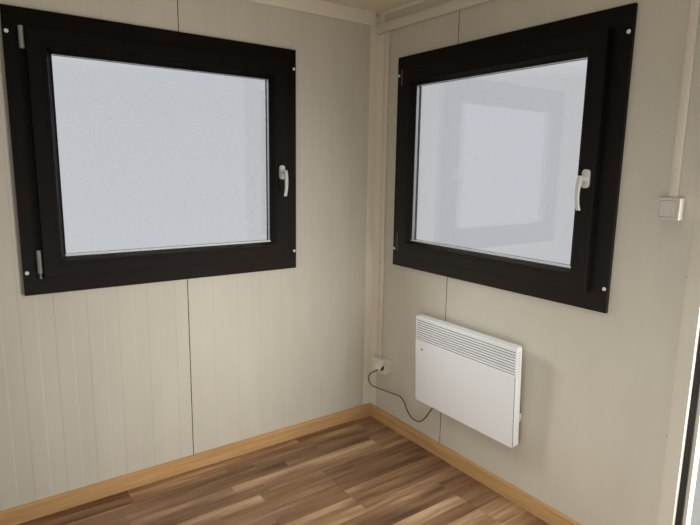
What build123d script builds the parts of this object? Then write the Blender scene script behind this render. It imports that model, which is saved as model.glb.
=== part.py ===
from build123d import *
import math
import os

# Corner bay of a portable site cabin, with its floor, two walls, roof and fittings.
# Sizes are in millimetres. Z is up, and the origin is the middle of the underside.

# Room
ceiling_height = 2315

# Sandwich wall panels with shallow vertical bands
wall_thick = 60
panel_width = 1150
band_pitch = 62.5
band_depth = 1.2
band_slope = 6
seam_chamfer = 2.5
left_seam = 1107
right_seam = 599

# Door post: a steel profile with a slanted lip, and a rebate for the door's seal
door_post_width = 68
door_post_lip = 18
door_post_proud = 6
rebate_depth = 22
rebate_width = 31
door_seal_width = 20
door_seal_depth = 9

# Steel frame of the cabin
frame_proud = 15
steel = 4
floor_beam_height = 130
roof_beam_height = 180
block_size = 150
block_wall = 12
block_slot_length = 80
block_slot_width = 50
block_fit = 0.3
joist_width = 60
joist_wall = 3
joist_count = 5
rafter_height = 130

# Floor and roof layers
floor_board = 22
laminate = 8
ceiling_board = 12
roof_ribs = 11
roof_rib_height = 35
roof_rib_top = 60
roof_rib_slope = 30
roof_sheet = 1

# Windows: distances inwards from the outer edge, then depths from the wall's inner face
window_width = 1240
window_height = 1094
window_head = 255
left_window_gap = 529
right_window_gap = 195
right_pier = 273
window_fit = 0.3
frame_flange = 30
frame_width = 81
frame_stop = 18
sash_edge = 71
sash_gap = 0.3
sash_width = 52
sash_sight = 33
glass_fit = 4
spacer_inset = 21
spacer_width = 12
bead_slope = 18
seal_width = 3
seal_height = 3
frame_inside = 18
frame_outside = 4
frame_stop_depth = 48
frame_chamfer = 2
sash_proud = 33
sash_chamfer = 3
sash_lip_depth = 14
glass = 4
glass_space = 16
cap_size = 15
cap_height = 3
cap_inset = 13
cap_from_end = 92
hinge_size = 20
hinge_proud = 20
hinge_gap = 1.5
hinge_foot = 10
hinge_top_gap = 69
hinge_top_length = 80
hinge_bottom_gap = 89
hinge_bottom_length = 93
hinge_pin = 9
hinge_pin_length = 22
handle_above_sill = 497
plate_width = 30
plate_height = 69
plate_depth = 11
plate_round = 13
plate_chamfer = 2
neck_size = 16
neck_length = 22
lever_top = 11
lever_length = 127
lever_width = 17
lever_thick = 15
lever_waist = 10
lever_bow = 9
lever_tip = 11
lever_chamfer = 3

# Trims inside the room
corner_leg = 55
corner_trim = 1.5
skirting_height = 73
skirting_thick = 15
skirting_round = 6
cornice_height = 68
cornice_depth = 20
cornice_slant = 7
cornice_gap = 16
ceiling_strip = 12
trunking_gap = 57
trunking_height = 48
trunking_depth = 20
trim_fit = 0.3

# Electrical fittings
duct_width = 35
duct_depth = 10
duct_from_corner = 68
socket_width = 122
socket_height = 79
socket_depth = 50
socket_round = 5
socket_from_corner = 72
socket_base = 325
recess_size = 38
recess_depth = 16
recess_below_hinge = 34
lid_width = 56
lid_length = 52
lid_thick = 4
lid_below_top = 8
lid_opening = 42
plug_size = 36
plug_fit = 0.3
plug_neck_length = 38
plug_neck_base = 13
plug_neck_end = 10
plug_neck_turn = 219
plug_neck_inset = 7
switch_size = 73
switch_depth = 38
switch_round = 4
switch_from_door = 84
switch_centre = 1371
rocker_size = 52
rocker_gap = 1.5
rocker_recess = 3
rocker_tilt = 2.5
switch_duct_width = 26
switch_duct_depth = 12

# Convector heater
heater_width = 627
heater_height = 461
heater_depth = 35
heater_gap = 50
heater_from_corner = 485
heater_base = 297
heater_lean = 2.5
heater_round = 12
heater_slots = 9
heater_slot_pitch = 12.5
heater_slot_height = 4.5
heater_slot_margin = 6
heater_slot_top = 22
heater_slot_depth = 14
heater_slot_rise = 6
louvre_height = 128
front_plate = 2.5
front_plate_fold = 5
bracket_inset = 130
bracket_width = 40
bracket_base = 40
bracket_height = 360
control_inset = 32
control_width = 70
control_height = 110
control_depth = 38
knob_size = 44
knob_depth = 15
knob_above_base = 120
knob_fit = 0.5
knob_sides = 48
knob_chamfer = 2
inlet_from_edge = 114
inlet_from_back = 9
gland_length = 20
gland_lean = 35
gland_base = 16
gland_end = 11
sleeve_sides = 16
cord_size = 7
cord_sides = 6
cord_first_run = 20
cord_last_run = 22
cord_turn_share = 0.45

# Values that follow from the sizes above
left_run = left_seam + panel_width
door_side = right_window_gap + window_width + right_pier
right_run = door_side + door_post_width
window_sill = ceiling_height - window_head - window_height
outer_reach = wall_thick + frame_proud
block_reach = block_size - outer_reach
floor_top = floor_beam_height + floor_board + laminate
corner_x = (left_run - outer_reach) / 2
corner_y = (right_run - outer_reach) / 2
corner = Vector(corner_x, corner_y, floor_top)
panel_base = -(floor_board + laminate)
panel_top = ceiling_height + ceiling_board
frame_base = -floor_top
frame_back = -wall_thick - frame_outside
stop_face = frame_back + frame_stop_depth
sash_face = frame_inside + sash_proud
pane_edge = sash_edge + sash_width
sight_edge = pane_edge + sash_sight
bead_foot = sight_edge - seal_width
bead_face = bead_foot - bead_slope
pane_back = stop_face + sash_gap + sash_lip_depth
pane_front = pane_back + 2 * glass + glass_space
spacer_edge = pane_edge + spacer_inset
cornice_base = ceiling_height - cornice_height
trunking_top = ceiling_height - trunking_gap
trunking_base = trunking_top - trunking_height
cornice_end = -trunking_depth - cornice_gap

# Working planes: x runs along the wall to the right as seen from the room, y up, z into the room
left_wall = Plane(origin=corner, x_dir=(1, 0, 0), z_dir=(0, -1, 0))
right_wall = Plane(origin=corner, x_dir=(0, -1, 0), z_dir=(-1, 0, 0))
# Plan planes: x runs along the wall, y outwards, z up
left_plan = Plane(origin=corner, x_dir=(1, 0, 0), z_dir=(0, 0, 1))
right_plan = Plane(origin=corner, x_dir=(0, -1, 0), z_dir=(0, 0, 1))

os.makedirs("parts", exist_ok=True)


def save(builder, name):
    """Label a finished piece and write it."""
    builder.part.label = name
    export_step(builder.part, f"parts/{name}.step")


def block(plane, x, y, z):
    """Block between pairs of coordinates on a working plane."""
    with BuildPart() as solid:
        with BuildSketch(plane.offset(z[0])):
            with Locations((x[0], y[0])):
                Rectangle(x[1] - x[0], y[1] - y[0], align=(Align.MIN, Align.MIN))
        extrude(amount=z[1] - z[0])
    return solid.part


def ring(plane, centre, size, outer, inner, z):
    """Rectangular ring; outer and inner are its distances in from the edge of the size."""
    with BuildPart() as solid:
        with BuildSketch(plane.offset(z[0])):
            with Locations(centre):
                Rectangle(size[0] - 2 * outer, size[1] - 2 * outer)
                Rectangle(size[0] - 2 * inner, size[1] - 2 * inner, mode=Mode.SUBTRACT)
        extrude(amount=z[1] - z[0])
    return solid.part


# Steel frame of the cabin: edge channels, joists, corner blocks and the corner post
def channel(plan, start, end, base, height):
    """Edge channel along x, open towards the room, its web flush with the corner blocks."""
    with BuildPart() as beam:
        add(block(plan, (start, end), (outer_reach - steel, outer_reach), (base, base + height)))
        add(block(plan, (start, end), (0, outer_reach), (base, base + steel)))
        add(block(plan, (start, end), (0, outer_reach), (base + height - steel, base + height)))
    return beam


floor_beam_left = channel(left_plan, -left_run, -block_reach, frame_base, floor_beam_height)
save(floor_beam_left, "floor_beam_left")
floor_beam_right = channel(right_plan, block_reach, right_run, frame_base, floor_beam_height)
save(floor_beam_right, "floor_beam_right")
roof_beam_left = channel(left_plan, -left_run, -block_reach, panel_top, roof_beam_height)
save(roof_beam_left, "roof_beam_left")
roof_beam_right = channel(right_plan, block_reach, right_run, panel_top, roof_beam_height)
save(roof_beam_right, "roof_beam_right")


def corner_block(base, height):
    """Hollow corner fitting with a slotted hole in each of its two outer faces."""
    span = (-block_reach, outer_reach)
    hollow = (-block_reach + block_wall, outer_reach - block_wall)
    middle = (outer_reach - block_reach) / 2
    with BuildPart() as fitting:
        add(block(left_plan, span, span, (base, base + height)))
        add(block(left_plan, hollow, hollow, (base + block_wall, base + height - block_wall)),
            mode=Mode.SUBTRACT)
        for wall, place in ((left_wall, middle), (right_wall, -middle)):
            with BuildSketch(wall.offset(-outer_reach)):
                with Locations((place, base + height / 2)):
                    SlotOverall(block_slot_length, block_slot_width, rotation=90)
            extrude(amount=block_wall, mode=Mode.SUBTRACT)
    return fitting


corner_block_bottom = corner_block(frame_base, floor_beam_height)
save(corner_block_bottom, "corner_block_bottom")
corner_block_top = corner_block(panel_top, roof_beam_height)
save(corner_block_top, "corner_block_top")

with BuildPart() as corner_post:
    with BuildSketch(left_plan.offset(panel_base)):
        with BuildLine():
            Polyline(
                (-block_reach, wall_thick),
                (-block_reach, outer_reach),
                (outer_reach, outer_reach),
                (outer_reach, -block_reach),
                (wall_thick, -block_reach),
                (wall_thick, -block_reach + steel),
                (outer_reach - steel, -block_reach + steel),
                (outer_reach - steel, outer_reach - steel),
                (-block_reach + steel, outer_reach - steel),
                (-block_reach + steel, wall_thick),
                close=True,
            )
        make_face()
    extrude(amount=panel_top - panel_base)
save(corner_post, "corner_post")


def joists(base, height):
    """Channel joists from the left wall's beam to the open side."""
    first = -(block_reach + joist_width)
    last = -(left_run - joist_width / 2)
    with BuildPart() as row:
        for i in range(joist_count):
            middle = first + (last - first) * i / (joist_count - 1)
            low, high = middle - joist_width / 2, middle + joist_width / 2
            add(block(left_plan, (low, high), (-right_run, 0), (base, base + height)))
            add(block(left_plan, (low + joist_wall, high), (-right_run, 0),
                      (base + joist_wall, base + height - joist_wall)), mode=Mode.SUBTRACT)
    return row


floor_joists = joists(frame_base, floor_beam_height)
save(floor_joists, "floor_joists")
roof_joists = joists(panel_top, rafter_height)
save(roof_joists, "roof_joists")

# Floor and ceiling boards
with BuildPart() as floor_deck:
    add(block(left_plan, (-left_run, 0), (-right_run, 0), (panel_base, panel_base + floor_board)))
save(floor_deck, "floor_deck")

with BuildPart() as floor_laminate:
    add(block(left_plan, (-left_run, 0), (-right_run, 0), (-laminate, 0)))
save(floor_laminate, "floor_laminate")

with BuildPart() as ceiling:
    add(block(left_plan, (-left_run, 0), (-right_run, 0), (ceiling_height, panel_top)))
save(ceiling, "ceiling")


# Trapezoidal roof sheet, its ribs running down to the open side
def roof_outline(base):
    """Upper outline of the roof sheet across the cabin, from the open end to the right beam."""
    points = [(-left_run, base)]
    pitch = left_run / roof_ribs
    flat = pitch - roof_rib_top - 2 * roof_rib_slope
    for i in range(roof_ribs):
        x = -left_run + i * pitch + flat / 2
        points.append((x, base))
        points.append((x + roof_rib_slope, base + roof_rib_height))
        points.append((x + roof_rib_slope + roof_rib_top, base + roof_rib_height))
        points.append((x + 2 * roof_rib_slope + roof_rib_top, base))
    points.append((0, base))
    return points


with BuildPart() as roof_sheeting:
    with BuildSketch(left_wall):
        with BuildLine():
            under = roof_outline(panel_top + rafter_height)
            over = [(x, y + roof_sheet) for x, y in reversed(under)]
            Polyline(*under, *over, close=True)
        make_face()
    extrude(amount=right_run)
    notch = (-block_reach - block_fit, 0)
    add(block(left_plan, notch, notch, (panel_top, panel_top + roof_beam_height)), mode=Mode.SUBTRACT)
save(roof_sheeting, "roof_sheeting")


# Sandwich panels: shallow bands pressed in both skins, and a chamfer at each seam
def banded_face(low, high, seam, surface, inward):
    """Outline of one skin from low to high; bands are counted both ways from the seam."""
    points = [(low, surface + inward * seam_chamfer)]
    bands = int((seam - low) // band_pitch) + 1
    edges = [seam + k * band_pitch for k in range(-bands, int((high - seam) // band_pitch) + 1)]
    edges = [edge for edge in edges if low + band_pitch / 4 < edge < high - band_pitch / 4]
    raised = (round((edges[0] - seam) / band_pitch) % 2 == 1) == (edges[0] > seam)
    level = 0 if raised else band_depth
    points.append((low + seam_chamfer, surface + inward * level))
    for edge in edges:
        points.append((edge - band_slope / 2, surface + inward * level))
        level = band_depth - level
        points.append((edge + band_slope / 2, surface + inward * level))
    points.append((high - seam_chamfer, surface + inward * level))
    points.append((high, surface + inward * seam_chamfer))
    return points


def wall_panel(plan, wall, low, high, seam, opening):
    """Sandwich panel between two places along a wall, with its share of the window's opening."""
    inside = banded_face(low, high, seam, 0, 1)
    outside = banded_face(low, high, seam, wall_thick, -1)
    with BuildPart() as panel:
        with BuildSketch(plan.offset(panel_base)):
            with BuildLine():
                Polyline(*inside, *reversed(outside), close=True)
            make_face()
        extrude(amount=panel_top - panel_base)
        cut = frame_flange - window_fit
        add(block(wall, (opening[0] + cut, opening[1] - cut),
                  (window_sill + cut, window_sill + window_height - cut),
                  (-wall_thick, 0)), mode=Mode.SUBTRACT)
    return panel


left_window = (-left_window_gap - window_width, -left_window_gap)
right_window = (right_window_gap, right_window_gap + window_width)
left_panel_corner = wall_panel(left_plan, left_wall, -left_seam, wall_thick, -left_seam, left_window)
save(left_panel_corner, "left_panel_corner")
left_panel_outer = wall_panel(left_plan, left_wall, -left_run, -left_seam, -left_seam, left_window)
save(left_panel_outer, "left_panel_outer")
right_panel_corner = wall_panel(right_plan, right_wall, 0, right_seam, right_seam, right_window)
save(right_panel_corner, "right_panel_corner")
right_panel_outer = wall_panel(right_plan, right_wall, right_seam, door_side, right_seam, right_window)
save(right_panel_outer, "right_panel_outer")

# Door post at the open end of the right wall, with a rebate for the door and its seal
with BuildPart() as door_post:
    with BuildSketch(right_plan.offset(panel_base)):
        with BuildLine():
            Polyline(
                (door_side, 0),
                (door_side, wall_thick),
                (right_run, wall_thick),
                (right_run, rebate_depth),
                (right_run - rebate_width, rebate_depth),
                (right_run - rebate_width, 0),
                close=True,
            )
        make_face()
    extrude(amount=panel_top - panel_base)
    with BuildSketch(right_plan):
        with BuildLine():
            Polyline(
                (door_side - door_post_lip, 0),
                (door_side, -door_post_proud),
                (right_run - rebate_width, -door_post_proud),
                (right_run - rebate_width, 0),
                close=True,
            )
        make_face()
    extrude(amount=ceiling_height)
save(door_post, "door_post")

with BuildPart() as door_seal:
    add(block(right_plan, (right_run - rebate_width, right_run - rebate_width + door_seal_width),
              (rebate_depth - door_seal_depth, rebate_depth), (0, ceiling_height)))
save(door_seal, "door_seal")


# Trims inside the room
def section(wall, x):
    """Upright plane across a wall at x: its x is the depth into the room, its y is up."""
    return Plane(wall.from_local_coords(Vector(x, 0, 0)), x_dir=wall.z_dir, z_dir=-wall.x_dir)


def strip(wall, low, high, outline):
    """Moulding along a wall; its outline is given as distance from the wall and height."""
    with BuildPart() as moulding:
        with BuildSketch(section(wall, high)):
            with BuildLine():
                Polyline(*outline, close=True)
            make_face()
        extrude(amount=high - low)
    return moulding


# Corner angle, its left leg narrower beside the cornice and its right leg cut for the trunking
strip_base = ceiling_height - ceiling_strip
with BuildPart() as corner_angle:
    add(block(left_wall, (-corner_leg, 0), (skirting_height, cornice_base), (0, corner_trim)))
    add(block(left_wall, (cornice_end + trim_fit, 0), (cornice_base, strip_base), (0, corner_trim)))
    add(block(right_wall, (0, corner_leg), (skirting_height, trunking_base), (0, corner_trim)))
    add(block(right_wall, (0, corner_leg), (trunking_top, strip_base), (0, corner_trim)))
save(corner_angle, "corner_angle")

cornice_left = strip(left_wall, -left_run, cornice_end, [
    (0, cornice_base),
    (cornice_depth - cornice_slant, cornice_base),
    (cornice_depth, ceiling_height - cornice_slant),
    (cornice_depth, ceiling_height),
    (0, ceiling_height),
])
save(cornice_left, "cornice_left")
cornice_right = strip(right_wall, 0, door_side - door_post_lip, [
    (0, strip_base),
    (ceiling_strip, ceiling_height),
    (0, ceiling_height),
])
save(cornice_right, "cornice_right")

with BuildPart() as trunking:
    add(block(right_wall, (corner_trim + trim_fit, door_side - door_post_lip),
              (trunking_base, trunking_top), (0, trunking_depth)))
save(trunking, "trunking")

skirting_outline = [
    (0, 0),
    (skirting_thick, 0),
    (skirting_thick, skirting_height - skirting_round),
    (skirting_thick - skirting_round / 3, skirting_height - skirting_round / 3),
    (skirting_thick - skirting_round, skirting_height),
    (0, skirting_height),
]
skirting_left = strip(left_wall, -left_run, 0, skirting_outline)
save(skirting_left, "skirting_left")
skirting_right = strip(right_wall, skirting_thick, door_side - door_post_lip, skirting_outline)
save(skirting_right, "skirting_right")


# Windows: one tilt-and-turn sash hung on its left, with a double pane
def hinge(plan, x, base, length, size):
    """Upright barrel at x, standing on a narrow foot on the window's frame."""
    middle = frame_inside + hinge_proud - hinge_size / 2
    with BuildPart() as barrel:
        with BuildSketch(plan.offset(base)):
            with Locations((x, -middle)):
                Circle(size / 2)
            with Locations((x, -(frame_inside + middle) / 2)):
                Rectangle(size - hinge_size + hinge_foot, middle - frame_inside)
        extrude(amount=length)
    return barrel.part


def lever(wall, x, height, start):
    """Bowed handle lever; start is the depth where its neck leaves the plate."""
    across = Axis(wall.origin, wall.x_dir)
    back = start + neck_length
    face = back + lever_thick
    end = lever_top - lever_length
    middle = end / 2
    with BuildPart() as solid:
        with BuildSketch(section(wall, x)):
            with BuildLine():
                outer = ThreePointArc((face, height + lever_top), (face + lever_bow, height + middle),
                                      (face - lever_tip / 2, height + end))
                inner = ThreePointArc((back, height - neck_size / 2),
                                      (face + lever_bow - lever_waist, height + middle),
                                      (face - lever_tip / 2 - lever_tip, height + end))
                Line(outer @ 1, inner @ 1)
                Polyline(inner @ 0, (back, height + lever_top), outer @ 0)
            make_face()
        extrude(amount=lever_width / 2, both=True)
        for side in (0, -1):
            rim = solid.faces().filter_by(across).sort_by(across)
            chamfer(rim[side].edges(), lever_chamfer)
        with BuildSketch(wall.offset(start)):
            with Locations((x, height)):
                Circle(neck_size / 2)
        extrude(amount=neck_length + lever_chamfer)
    return solid


def window(wall, plan, low, name):
    """Make every piece of one window; low is its left edge along the wall."""
    centre = (low + window_width / 2, window_sill + window_height / 2)
    size = (window_width, window_height)
    facing = Axis(wall.origin, wall.z_dir)

    with BuildPart() as frame:
        add(ring(wall, centre, size, 0, frame_width, (0, frame_inside)))
        add(ring(wall, centre, size, frame_flange, frame_width, (frame_back, 0)))
        add(ring(wall, centre, size, frame_flange, frame_width + frame_stop, (frame_back, stop_face)))
        chamfer(frame.faces().sort_by(facing)[-1].outer_wire().edges(), frame_chamfer)
    save(frame, f"{name}_frame")

    with BuildPart() as sash:
        add(ring(wall, centre, size, sash_edge, pane_edge, (frame_inside + sash_gap, sash_face)))
        add(ring(wall, centre, size, frame_width + sash_gap, pane_edge,
                 (stop_face + sash_gap, sash_face)))
        add(ring(wall, centre, size, frame_width + sash_gap, sight_edge,
                 (stop_face + sash_gap, pane_back)))
        chamfer(sash.faces().sort_by(facing)[-1].outer_wire().edges(), sash_chamfer)
    save(sash, f"{name}_sash")

    with BuildPart() as panes:
        glass_size = [side - 2 * (pane_edge + glass_fit) for side in size]
        for level in (pane_back, pane_front - glass):
            with BuildSketch(wall.offset(level)):
                with Locations(centre):
                    Rectangle(*glass_size)
            extrude(amount=glass)
    save(panes, f"{name}_panes")

    with BuildPart() as spacer:
        add(ring(wall, centre, size, spacer_edge, spacer_edge + spacer_width,
                 (pane_back + glass, pane_front - glass)))
    save(spacer, f"{name}_spacer")

    bead_depth = sash_face - pane_front
    with BuildPart() as beads:
        with BuildSketch(wall.offset(pane_front)):
            with Locations(centre):
                Rectangle(size[0] - 2 * pane_edge, size[1] - 2 * pane_edge)
        extrude(amount=bead_depth)
        with BuildSketch(wall.offset(pane_front)):
            with Locations(centre):
                Rectangle(size[0] - 2 * bead_foot, size[1] - 2 * bead_foot)
        slant = math.degrees(math.atan(bead_slope / bead_depth))
        extrude(amount=bead_depth, taper=-slant, mode=Mode.SUBTRACT)
    save(beads, f"{name}_beads")

    with BuildPart() as seal:
        add(ring(wall, centre, size, bead_foot, sight_edge, (pane_front, pane_front + seal_height)))
    save(seal, f"{name}_glass_seal")

    with BuildPart() as caps:
        with BuildSketch(wall.offset(frame_inside)):
            with Locations(centre):
                with GridLocations(window_width - 2 * cap_inset, window_height - 2 * cap_from_end,
                                   2, 2):
                    Circle(cap_size / 2)
        extrude(amount=cap_height)
    save(caps, f"{name}_screw_caps")

    hinge_x = low + sash_edge - hinge_gap - hinge_size / 2
    hinge_top = window_sill + window_height - hinge_top_gap - hinge_top_length
    hinge_bottom = window_sill + hinge_bottom_gap
    with BuildPart() as hinges:
        add(hinge(plan, hinge_x, hinge_top, hinge_top_length, hinge_size))
        add(hinge(plan, hinge_x, hinge_bottom, hinge_bottom_length, hinge_size))
        add(hinge(plan, hinge_x, hinge_bottom - hinge_pin_length, hinge_pin_length, hinge_pin))
    save(hinges, f"{name}_hinges")

    handle_x = low + window_width - (sash_edge + bead_face) / 2
    handle_height = window_sill + handle_above_sill
    with BuildPart() as plate:
        with BuildSketch(wall.offset(sash_face)):
            with Locations((handle_x, handle_height)):
                RectangleRounded(plate_width, plate_height, plate_round)
        extrude(amount=plate_depth)
        chamfer(plate.faces().sort_by(facing)[-1].edges(), plate_chamfer)
    save(plate, f"{name}_handle_plate")
    save(lever(wall, handle_x, handle_height, sash_face + plate_depth), f"{name}_handle")


window(left_wall, left_plan, left_window[0], "left_window")
window(right_wall, right_plan, right_window[0], "right_window")

# Cable duct down the corner, and the double socket that it feeds
with BuildPart() as corner_duct:
    add(block(right_wall, (duct_from_corner, duct_from_corner + duct_width),
              (socket_base + socket_height, trunking_base), (0, duct_depth)))
save(corner_duct, "corner_duct")

lid_hinge = socket_base + socket_height - lid_below_top
plug_x = socket_from_corner + 3 * socket_width / 4
plug_y = lid_hinge - recess_below_hinge
with BuildPart() as socket_box:
    add(block(right_wall, (socket_from_corner, socket_from_corner + socket_width),
              (socket_base, socket_base + socket_height), (0, socket_depth)))
    fillet(socket_box.edges().filter_by(Axis.X), socket_round)
    with BuildSketch(right_wall.offset(socket_depth - recess_depth)):
        with Locations((plug_x - socket_width / 2, plug_y), (plug_x, plug_y)):
            Circle(recess_size / 2)
    extrude(amount=recess_depth, mode=Mode.SUBTRACT)
save(socket_box, "socket_box")


def lid_outline(opening):
    """Section of a lid, turned outwards by the opening about its inner top edge."""
    turn = math.radians(opening)
    down = (math.sin(turn), -math.cos(turn))
    out = (math.cos(turn), math.sin(turn))
    corners = [(0, 0), (lid_length, 0), (lid_length, lid_thick), (0, lid_thick)]
    return [(socket_depth + a * down[0] + b * out[0], lid_hinge + a * down[1] + b * out[1])
            for a, b in corners]


# One lid is shut, and the other rests on the plug
with BuildPart() as socket_lids:
    for middle, opening in ((plug_x - socket_width / 2, 0), (plug_x, lid_opening)):
        low, high = middle - lid_width / 2, middle + lid_width / 2
        add(strip(right_wall, low, high, lid_outline(opening)).part)
save(socket_lids, "socket_lids")

plug_top = plug_y + plug_size / 2
plug_face = socket_depth + (lid_hinge - plug_top) * math.tan(math.radians(lid_opening)) - plug_fit
neck_z = plug_face - plug_neck_inset
neck_dir = Vector(math.cos(math.radians(plug_neck_turn)), math.sin(math.radians(plug_neck_turn)), 0)
cord_exit = Vector(plug_x, plug_y, neck_z) + neck_dir * plug_neck_length


def neck_plane(along):
    """Plane across the plug's neck, at a distance from the middle of the plug."""
    point = right_wall.from_local_coords(Vector(plug_x, plug_y, neck_z) + neck_dir * along)
    tip = right_wall.from_local_coords(cord_exit + neck_dir)
    return Plane(point, z_dir=tip - point)


# Flat angled plug, its neck turned down towards the corner
with BuildPart() as heater_plug:
    with BuildSketch(right_wall.offset(socket_depth - recess_depth)):
        with Locations((plug_x, plug_y)):
            Circle(plug_size / 2)
    extrude(amount=plug_face - socket_depth + recess_depth)
    with BuildSketch(neck_plane(0)):
        RegularPolygon(plug_neck_base / 2, sleeve_sides)
    with BuildSketch(neck_plane(plug_neck_length)):
        RegularPolygon(plug_neck_end / 2, sleeve_sides)
    loft()
save(heater_plug, "heater_plug")

# Light switch beside the door, fed from the trunking
switch_x = door_side - switch_from_door
with BuildPart() as switch_box:
    with BuildSketch(right_wall):
        with Locations((switch_x, switch_centre)):
            RectangleRounded(switch_size, switch_size, switch_round)
    extrude(amount=switch_depth)
    with BuildSketch(right_wall.offset(switch_depth)):
        with Locations((switch_x, switch_centre)):
            Rectangle(rocker_size + 2 * rocker_gap, rocker_size + 2 * rocker_gap)
    extrude(amount=-rocker_recess, mode=Mode.SUBTRACT)
save(switch_box, "switch_box")

rocker_base = switch_centre - rocker_size / 2
switch_rocker = strip(right_wall, switch_x - rocker_size / 2, switch_x + rocker_size / 2, [
    (switch_depth - rocker_recess, rocker_base),
    (switch_depth + rocker_tilt, rocker_base),
    (switch_depth, rocker_base + rocker_size),
    (switch_depth - rocker_recess, rocker_base + rocker_size),
])
save(switch_rocker, "switch_rocker")

with BuildPart() as switch_duct:
    add(block(right_wall, (switch_x - switch_duct_width / 2, switch_x + switch_duct_width / 2),
              (switch_centre + switch_size / 2, trunking_base), (0, switch_duct_depth)))
save(switch_duct, "switch_duct")

# Convector heater on its two wall brackets; its top leans into the room
heater_end = heater_from_corner + heater_width
heater_middle = heater_base + heater_height / 2
heater_bottom = -heater_height / 2
heater_top = heater_height / 2
heater_face = heater_gap + heater_depth
lean = math.radians(heater_lean)
heater_wall = Plane(
    right_wall.from_local_coords(Vector(0, heater_middle, 0)),
    x_dir=right_wall.x_dir,
    z_dir=right_wall.z_dir * math.cos(lean) - right_wall.y_dir * math.sin(lean),
)
with BuildPart() as heater_casing:
    with BuildSketch(heater_wall.offset(heater_gap)):
        with Locations((heater_from_corner + heater_width / 2, 0)):
            RectangleRounded(heater_width, heater_height, heater_round)
    extrude(amount=heater_depth)
    for i in range(heater_slots):
        top = heater_top - heater_slot_top - i * heater_slot_pitch
        add(strip(heater_wall, heater_from_corner + heater_slot_margin, heater_end - heater_slot_margin, [
            (heater_face, top),
            (heater_face, top - heater_slot_height),
            (heater_face - heater_slot_depth, top - heater_slot_height + heater_slot_rise),
            (heater_face - heater_slot_depth, top + heater_slot_rise),
        ]).part, mode=Mode.SUBTRACT)
save(heater_casing, "heater_casing")

# Front plate below the louvre, short of the casing's folded right edge
with BuildPart() as heater_front:
    with BuildSketch(heater_wall.offset(heater_face)):
        with Locations((heater_from_corner + heater_width / 2, 0)):
            RectangleRounded(heater_width, heater_height, heater_round)
        with Locations((heater_from_corner, heater_top - louvre_height)):
            Rectangle(heater_width, louvre_height, align=Align.MIN, mode=Mode.SUBTRACT)
        with Locations((heater_end - front_plate_fold, heater_bottom)):
            Rectangle(front_plate_fold, heater_height, align=Align.MIN, mode=Mode.SUBTRACT)
    extrude(amount=front_plate)
save(heater_front, "heater_front")


def back_depth(height):
    """Distance from the wall to the casing's leaning back, at a height above the floor."""
    return (heater_gap + (height - heater_middle) * math.sin(lean)) / math.cos(lean)


# Wedge-shaped brackets between the wall and the casing's back
with BuildPart() as heater_brackets:
    for place in (heater_from_corner + bracket_inset, heater_end - bracket_inset):
        low = heater_base + bracket_base
        high = low + bracket_height
        add(strip(right_wall, place - bracket_width / 2, place + bracket_width / 2, [
            (0, low),
            (back_depth(low), low),
            (back_depth(high), high),
            (0, high),
        ]).part)
save(heater_brackets, "heater_brackets")

# Control box behind the casing, and its knob facing the door
control_end = heater_end - control_inset
knob_height = heater_bottom + knob_above_base
with BuildPart() as heater_control:
    add(block(heater_wall, (control_end - control_width, control_end),
              (knob_height - control_height / 2, knob_height + control_height / 2),
              (heater_gap - control_depth, heater_gap)))
save(heater_control, "heater_control")

with BuildPart() as heater_knob:
    knob_place = Vector(control_end, knob_height, heater_gap - knob_size / 2 - knob_fit)
    side = Plane(heater_wall.from_local_coords(knob_place), x_dir=heater_wall.z_dir, z_dir=heater_wall.x_dir)
    with BuildSketch(side):
        RegularPolygon(knob_size / 2, knob_sides)
    extrude(amount=knob_depth)
    chamfer(heater_knob.faces().sort_by(Axis(side.origin, side.z_dir))[-1].edges(), knob_chamfer)
save(heater_knob, "heater_knob")

# Tapered gland under the casing, where the cord goes in; it leans towards the corner
inlet = Vector(heater_from_corner + inlet_from_edge, heater_bottom, heater_gap + inlet_from_back)
gland_top = heater_wall.from_local_coords(inlet)
gland_dir = -heater_wall.y_dir * math.cos(math.radians(gland_lean))
gland_dir -= heater_wall.x_dir * math.sin(math.radians(gland_lean))
gland_foot = gland_top + gland_dir * gland_length
with BuildPart() as heater_gland:
    with BuildSketch(Plane(gland_top, x_dir=heater_wall.z_dir, z_dir=-heater_wall.y_dir)):
        RegularPolygon(gland_base / 2, sleeve_sides)
    with BuildSketch(Plane(gland_foot, x_dir=heater_wall.z_dir, z_dir=gland_dir)):
        RegularPolygon(gland_end / 2, sleeve_sides)
    loft()
save(heater_gland, "heater_gland")

# Heater cord, from the plug's neck to the gland; points are measured from where it leaves the neck
route = [cord_exit, cord_exit + neck_dir * cord_first_run]
route += [cord_exit + Vector(*step) for step in (
    (-35, -22, 7),
    (-55, -39, 13),
    (-63, -66, 17),
    (-49, -91, 17),
    (-22, -104, 13),
    (11, -101, 9),
    (55, -99, 6),
    (103, -96, 3),
    (155, -92, 0),
    (201, -87, -2),
    (233, -104, -4),
    (257, -147, -6),
    (289, -177, -7),
    (331, -187, -8),
    (369, -172, -10),
    (401, -138, -12),
    (420, -106, -12),
)]
places = [right_wall.from_local_coords(point) for point in route]
places += [gland_foot + gland_dir * cord_last_run, gland_foot]
radii = []
for before, point, after in zip(places, places[1:], places[2:]):
    turn = (point - before).get_angle(after - point)
    shorter = min((point - before).length, (after - point).length)
    radii.append(cord_turn_share * shorter / math.tan(math.radians(turn / 2)))
print("cord radii in diameters", [round(radius / cord_size, 1) for radius in radii])
print("cord runs", [round((b - a).length) for a, b in zip(places, places[1:])])

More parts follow.
